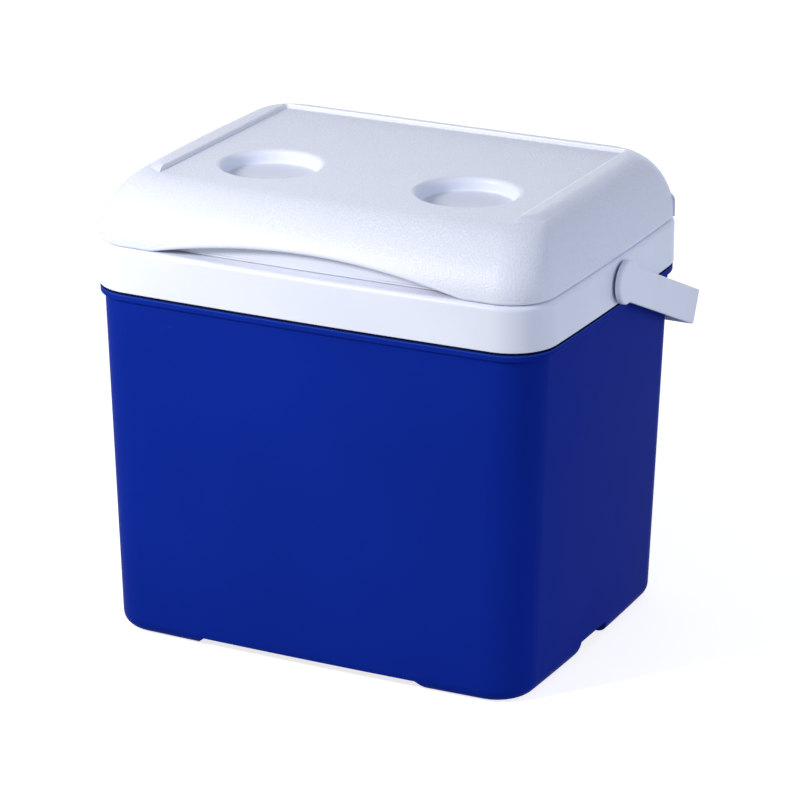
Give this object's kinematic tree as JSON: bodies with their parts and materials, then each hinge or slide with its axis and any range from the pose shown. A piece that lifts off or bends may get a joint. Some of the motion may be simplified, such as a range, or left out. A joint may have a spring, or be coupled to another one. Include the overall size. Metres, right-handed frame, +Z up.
{
  "type": "vaccine carrier",
  "caption": "Hard-sided insulated carrier box with a domed hinged lid, a swinging bail handle and ice packs standing round its cold chamber.",
  "frame": {"origin": "on the ground, under the middle of the whole footprint with the handle folded back", "axes": "+X to the right as seen from the front, +Y to the hinge side at the back, +Z up"},
  "size_m": [0.4146, 0.3102, 0.3827],
  "materials": {
    "shell_blue": "satin moulded polyethylene, very fine grain",
    "collar_white": "satin moulded plastic, smooth",
    "lid_white": "pebble-grained moulded plastic with a smooth lower edge",
    "handle_white": "satin moulded plastic, smooth",
    "liner_white": "smooth gloss for wiping clean",
    "insulation_foam": "cut foam, fine open cells",
    "gasket_rubber": "soft matt grey",
    "hinge_steel": "plain drawn pin",
    "ice_pack_bottle": "milky moulded bottle",
    "ice_pack_cap": "moulded screw cap"
  },
  "bodies": {
    "carrier": {"outer_shell": "shell_blue", "body_insulation": "insulation_foam", "inner_liner": "liner_white", "rim_collar": "collar_white", "hinge_pin_left": "hinge_steel", "hinge_pin_right": "hinge_steel", "ice_pack_front_left": "ice_pack_bottle", "ice_pack_front_right": "ice_pack_bottle", "ice_pack_back_left": "ice_pack_bottle", "ice_pack_back_right": "ice_pack_bottle", "ice_pack_side_left": "ice_pack_bottle", "ice_pack_side_right": "ice_pack_bottle", "ice_pack_front_left_cap": "ice_pack_cap", "ice_pack_front_right_cap": "ice_pack_cap", "ice_pack_back_left_cap": "ice_pack_cap", "ice_pack_back_right_cap": "ice_pack_cap", "ice_pack_side_left_cap": "ice_pack_cap", "ice_pack_side_right_cap": "ice_pack_cap"},
    "lid": {"lid_shell": "lid_white", "lid_liner": "liner_white", "lid_insulation": "insulation_foam", "lid_gasket": "gasket_rubber"},
    "handle": {"bail_handle": "handle_white"}
  },
  "joints": [
    {"name": "lid_hinge", "type": "hinge", "parent": "carrier", "child": "lid", "pos_m": [0, 0.14591, 0.3311], "axis": [-1, 0, 0], "range_deg": [0, 100]},
    {"name": "handle_swing", "type": "hinge", "parent": "carrier", "child": "handle", "pos_m": [0, 0.00111, 0.3099], "axis": [1, 0, 0], "range_deg": [0, 213]}
  ]
}
